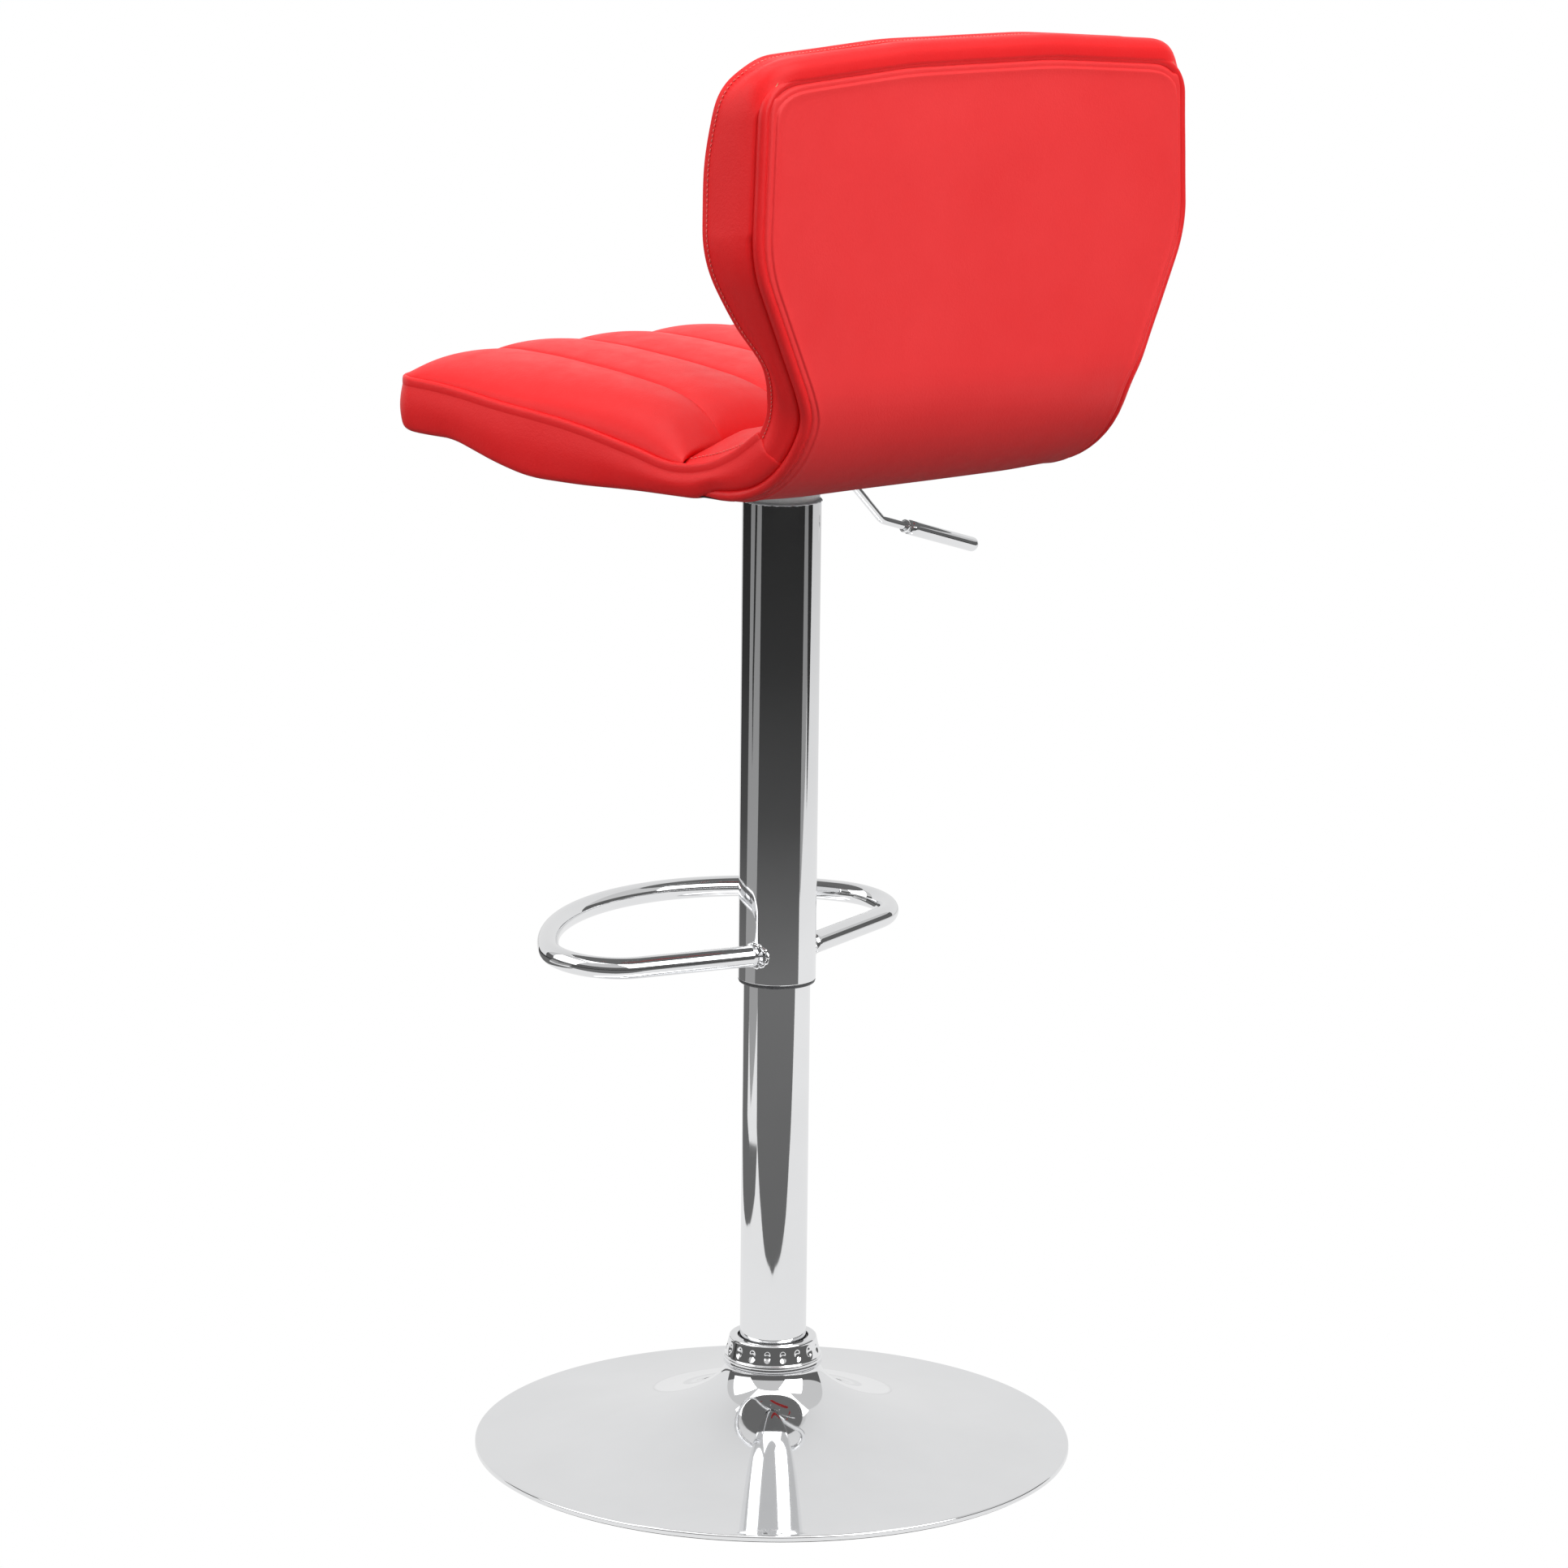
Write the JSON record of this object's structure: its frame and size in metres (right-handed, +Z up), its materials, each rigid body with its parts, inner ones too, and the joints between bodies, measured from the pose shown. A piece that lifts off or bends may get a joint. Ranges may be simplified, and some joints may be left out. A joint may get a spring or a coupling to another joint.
{
  "type": "gas-lift swivel bar stool with back",
  "caption": "Height-adjustable swivel bar stool: round chrome base, gas-lift column with a footrest ring and side lever, and a red channel-stitched seat with a low back.",
  "frame": {"origin": "on the floor, at the axis of the column, which is the middle of the round base", "axes": "+Z up along the column; the seat faces -Y and the back rest stands at +Y; the lever is on the -X side"},
  "size_m": [0.45, 0.45, 1.0692],
  "materials": {
    "rubber": "matt black rubber",
    "plain_steel": "zinc-plated steel",
    "chrome": "bright chrome plate",
    "black_plastic": "dark grey moulded plastic",
    "bush_plastic": "natural nylon",
    "black_paint": "black powder coat",
    "pale_paint": "bright pale plated steel",
    "plywood": "bare bent plywood",
    "dust_fabric": "black non-woven fabric",
    "vinyl_pad": "soft polyurethane foam under its red cover",
    "red_vinyl": "bright red smooth vinyl"
  },
  "bodies": {
    "base": {"floor_ring": "rubber", "ballast_plate": "plain_steel", "base_cover": "chrome", "base_socket": "plain_steel", "rod_washer": "plain_steel", "collar": "chrome", "collar_grommet": "black_plastic", "lower_tube": "chrome", "tube_top_bush": "bush_plastic", "tube_lower_bush": "bush_plastic", "bearing_lower_race": "plain_steel", "bearing_cage": "bush_plastic", "bearing_balls": "plain_steel"},
    "rod": {"bearing_upper_race": "plain_steel", "piston_rod": "chrome", "piston": "plain_steel", "rod_clip": "plain_steel", "bump_stop": "rubber"},
    "seat": {"gas_cylinder": "black_paint", "rod_gland": "black_plastic", "sleeve": "chrome", "sleeve_bottom_ring": "black_plastic", "sleeve_top_cap": "plain_steel", "footrest_ring": "chrome", "footrest_welds": "chrome", "plate_hub": "pale_paint", "seat_plate": "black_paint", "lever_bracket": "black_paint", "lever_pin": "plain_steel", "plate_bolts": "plain_steel", "plate_washers": "plain_steel", "tee_nuts": "plain_steel", "seat_shell": "plywood", "dust_cover": "dust_fabric", "seat_cushion": "vinyl_pad", "back_cushion": "vinyl_pad", "seat_band": "red_vinyl", "back_band": "red_vinyl", "rear_cover": "red_vinyl", "piping": "red_vinyl"},
    "lever": {"lever_block": "plain_steel", "lever_rod": "chrome", "lever_grip": "chrome"},
    "valve": {"valve_pin": "plain_steel"}
  },
  "joints": [
    {"name": "swivel", "type": "hinge", "parent": "base", "child": "rod", "pos_m": [0, 0, 0.016], "axis": [0, 0, 1], "continuous": true},
    {"name": "seat_lift", "type": "slide", "parent": "rod", "child": "seat", "axis": [0, 0, 1], "range_m": [-0.21, 0]},
    {"name": "lever_lift", "type": "hinge", "parent": "seat", "child": "lever", "pos_m": [-0.04, 0, 0.74346], "axis": [0, 1, 0], "range_deg": [0, 5], "stiffness_Nm_per_rad": 6, "springref_deg": -2.86},
    {"name": "valve_press", "type": "slide", "parent": "seat", "child": "valve", "axis": [0, 0, -1], "range_m": [0, 0.0038]}
  ],
  "couplings": [
    {"joint": "valve_press", "follows": "lever_lift", "m_per_rad": 0.043}
  ]
}
